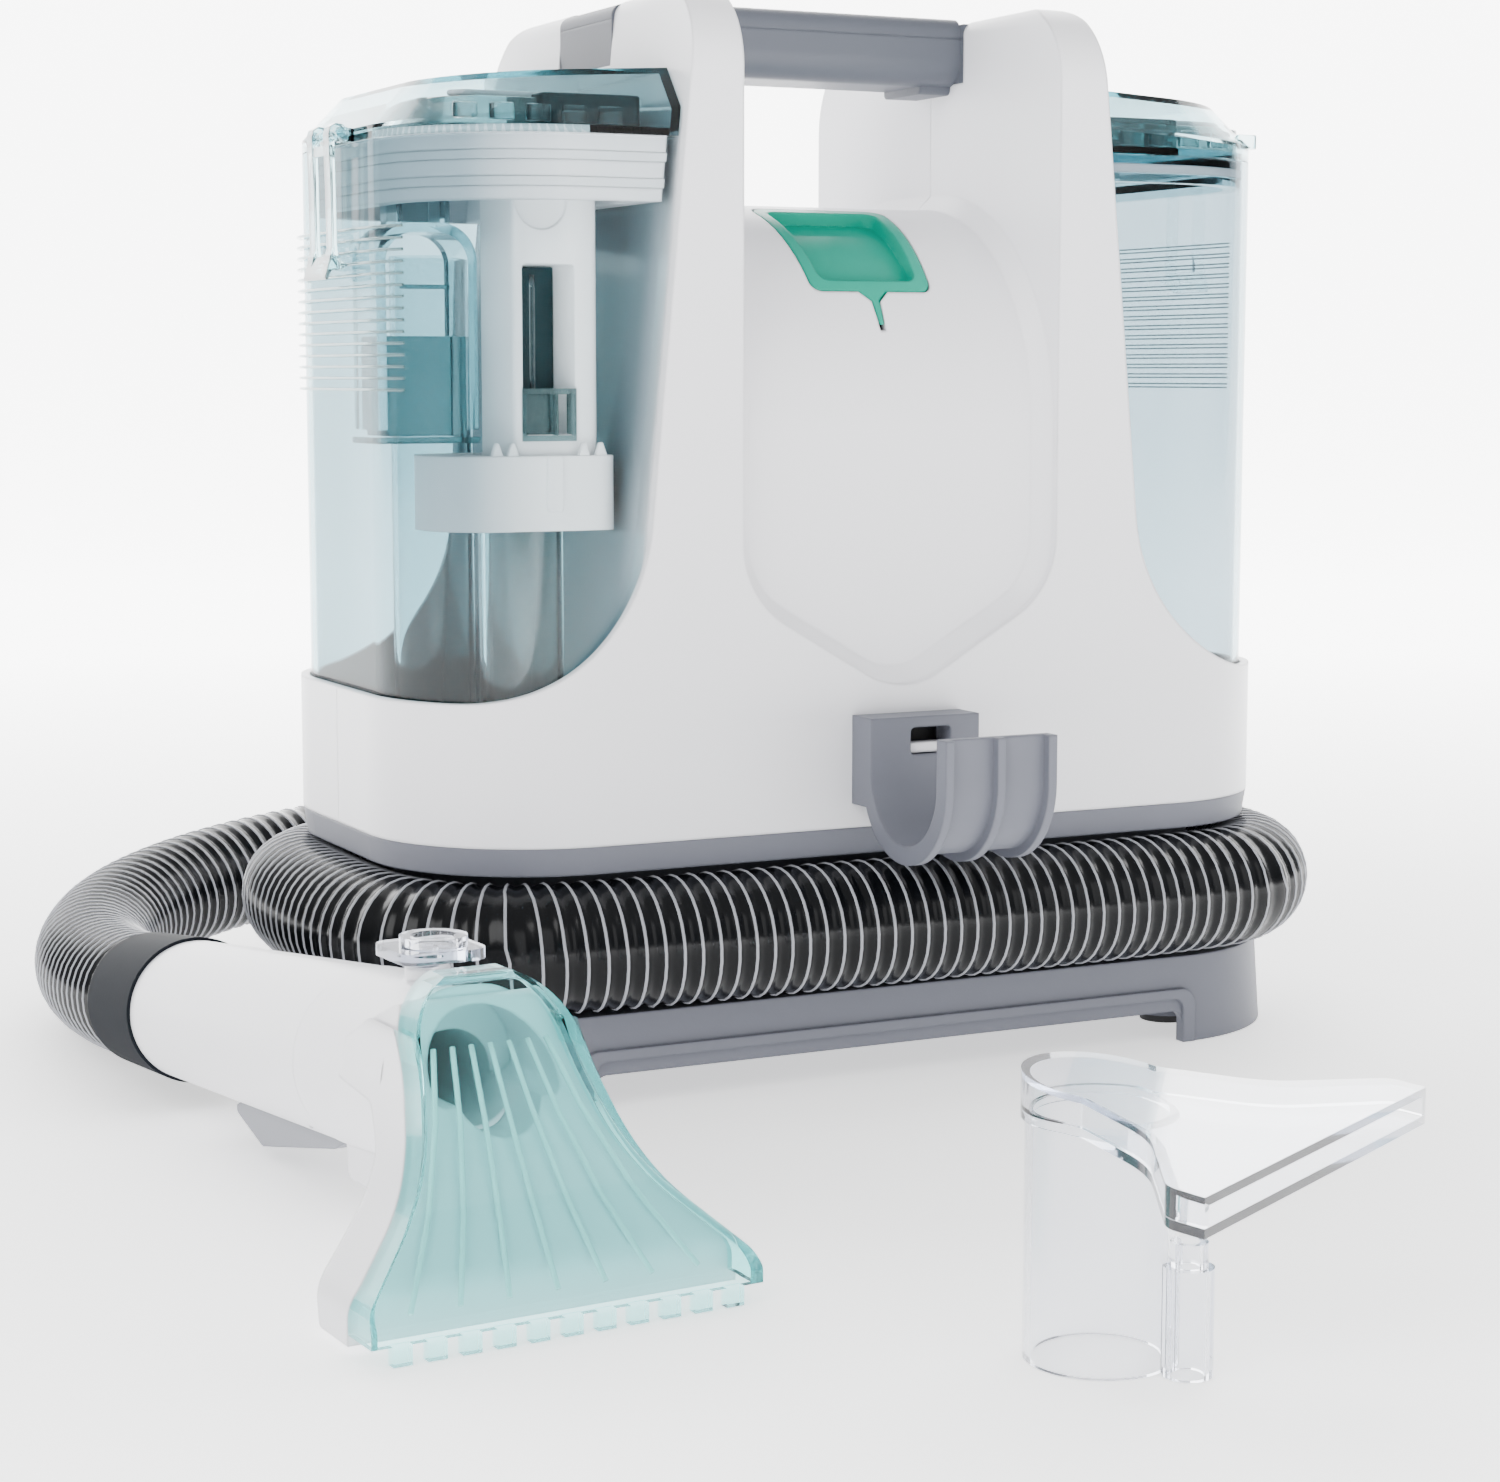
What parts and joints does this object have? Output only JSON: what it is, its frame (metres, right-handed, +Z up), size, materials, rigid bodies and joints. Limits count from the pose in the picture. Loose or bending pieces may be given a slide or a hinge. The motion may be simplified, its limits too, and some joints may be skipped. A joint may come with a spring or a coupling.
{
  "type": "portable spot cleaner",
  "caption": "Portable spot extractor with a clean tank, a dirty tank, a carrying handle, a wrapped suction hose, a spray hand tool and a spare nozzle.",
  "frame": {"origin": "on the floor, under the middle of the machine's base", "axes": "+X towards the clean tank, -Y out of the front with the tool holder and button, +Z up"},
  "size_m": [0.4462, 0.6655, 0.353],
  "materials": {
    "white_plastic": "fine moulded grain",
    "gray_plastic": "fine moulded grain",
    "handle_gray": "soft satin",
    "cuff_gray": "satin",
    "trigger_gray": "satin",
    "inner_plastic": "plain moulded",
    "button_teal": "semi-gloss",
    "tank_clear": "clear tinted plastic",
    "clear_tube": "translucent tube",
    "hose_clear": "smoky clear with wire rings",
    "feet_rubber": "plain",
    "seal_rubber": "plain",
    "seal_pale": "plain",
    "spring_steel": "drawn wire",
    "screw_steel": "zinc plated",
    "motor_metal": "plain",
    "board_green": "solder mask",
    "filter_foam": "open foam"
  },
  "bodies": {
    "root": {"base_tray": "gray_plastic", "rubber_feet": "feet_rubber", "waist_core": "gray_plastic", "skirt_band": "gray_plastic", "front_shell": "white_plastic", "rear_shell": "white_plastic", "handle_base": "handle_gray", "handle_cap": "handle_gray", "button_bracket": "inner_plastic", "power_switch": "inner_plastic", "tool_holder": "gray_plastic", "port_seals": "seal_rubber", "inlet_duct": "inner_plastic", "air_duct": "inner_plastic", "motor_bracket": "inner_plastic", "rubber_mounts": "seal_rubber", "fan_housing": "inner_plastic", "vacuum_motor": "motor_metal", "water_pump": "motor_metal", "water_tubes": "clear_tube", "control_board": "board_green", "exhaust_grille": "gray_plastic", "exhaust_filter": "filter_foam", "cord_gland": "seal_rubber", "screws": "screw_steel", "elbow_socket": "cuff_gray", "machine_cuff": "cuff_gray", "hose": "hose_clear", "tool_cuff": "cuff_gray", "barrel_left": "white_plastic", "barrel_right": "white_plastic", "suction_tube": "clear_tube", "spray_line": "clear_tube", "return_springs": "spring_steel", "trigger_pin": "screw_steel", "tool_head": "white_plastic"},
    "power_button": {"power_button": "button_teal"},
    "impeller": {"impeller": "inner_plastic"},
    "dirty_tank": {"dirty_tank_shell": "tank_clear", "tank_pipes": "tank_clear"},
    "dirty_lid": {"dirty_lid_cover": "tank_clear", "dirty_lid_frame": "white_plastic", "dirty_lid_seal": "seal_pale", "separator_column": "white_plastic", "baffle_box": "tank_clear"},
    "dirty_latch": {"dirty_latch": "tank_clear"},
    "float_ring": {"float_ring": "white_plastic"},
    "clean_tank": {"clean_tank_shell": "tank_clear", "valve_housing": "inner_plastic"},
    "valve_poppet": {"valve_poppet": "inner_plastic", "valve_spring": "spring_steel"},
    "clean_lid": {"clean_lid_cover": "tank_clear", "clean_lid_frame": "tank_clear", "clean_lid_seal": "seal_pale"},
    "clean_latch": {"clean_latch": "tank_clear"},
    "trigger": {"trigger": "trigger_gray"},
    "nozzle_cover": {"nozzle_cover": "tank_clear"},
    "nozzle_latch": {"nozzle_latch": "tank_clear"},
    "spare_nozzle": {"spare_cover": "tank_clear", "spare_body": "tank_clear"}
  },
  "joints": [
    {"name": "power_press", "type": "slide", "parent": "root", "child": "power_button", "axis": [0, 0.5299, -0.848], "range_m": [0, 0.003], "stiffness_N_per_m": 400, "springref_m": -0.0015},
    {"name": "impeller_spin", "type": "hinge", "parent": "root", "child": "impeller", "pos_m": [0, 0.008, 0.137], "axis": [0, 0, 1], "continuous": true},
    {"name": "dirty_tank_lift", "type": "slide", "parent": "root", "child": "dirty_tank", "axis": [0, 0, 1], "range_m": [0, 0.06]},
    {"name": "dirty_lid_lift", "type": "slide", "parent": "dirty_tank", "child": "dirty_lid", "axis": [0, 0, 1], "range_m": [0, 0.05]},
    {"name": "dirty_latch_turn", "type": "hinge", "parent": "dirty_lid", "child": "dirty_latch", "pos_m": [-0.1648, 0, 0.3068], "axis": [0, 1, 0], "range_deg": [0, 70]},
    {"name": "float_rise", "type": "slide", "parent": "dirty_lid", "child": "float_ring", "axis": [0, 0, 1], "range_m": [0, 0.044]},
    {"name": "clean_tank_lift", "type": "slide", "parent": "root", "child": "clean_tank", "axis": [0, 0, 1], "range_m": [0, 0.06]},
    {"name": "clean_lid_lift", "type": "slide", "parent": "clean_tank", "child": "clean_lid", "axis": [0, 0, 1], "range_m": [0, 0.05]},
    {"name": "clean_latch_turn", "type": "hinge", "parent": "clean_lid", "child": "clean_latch", "pos_m": [0.1648, 0, 0.3068], "axis": [0, -1, 0], "range_deg": [0, 70]},
    {"name": "valve_open", "type": "slide", "parent": "clean_tank", "child": "valve_poppet", "axis": [0, 0, 1], "range_m": [0, 0.0035], "stiffness_N_per_m": 150, "springref_m": -0.002, "deforming": ["valve_spring"]},
    {"name": "trigger_squeeze", "type": "hinge", "parent": "root", "child": "trigger", "pos_m": [-0.21243, -0.16081, 0.0265], "axis": [0.9976, 0.0698, 0], "range_deg": [0, 4], "stiffness_Nm_per_rad": 0.8, "springref_deg": -2.86},
    {"name": "nozzle_slide", "type": "slide", "parent": "root", "child": "nozzle_cover", "axis": [0.0694, -0.993, 0.0956], "range_m": [0, 0.04]},
    {"name": "nozzle_latch_press", "type": "slide", "parent": "root", "child": "nozzle_latch", "axis": [0, 0, -1], "range_m": [0, 0.0025], "stiffness_N_per_m": 400, "springref_m": -0.001},
    {"name": "spare_nozzle_lift", "type": "slide", "parent": "root", "child": "spare_nozzle", "axis": [0, 0, 1], "range_m": [0, 0.08]}
  ]
}
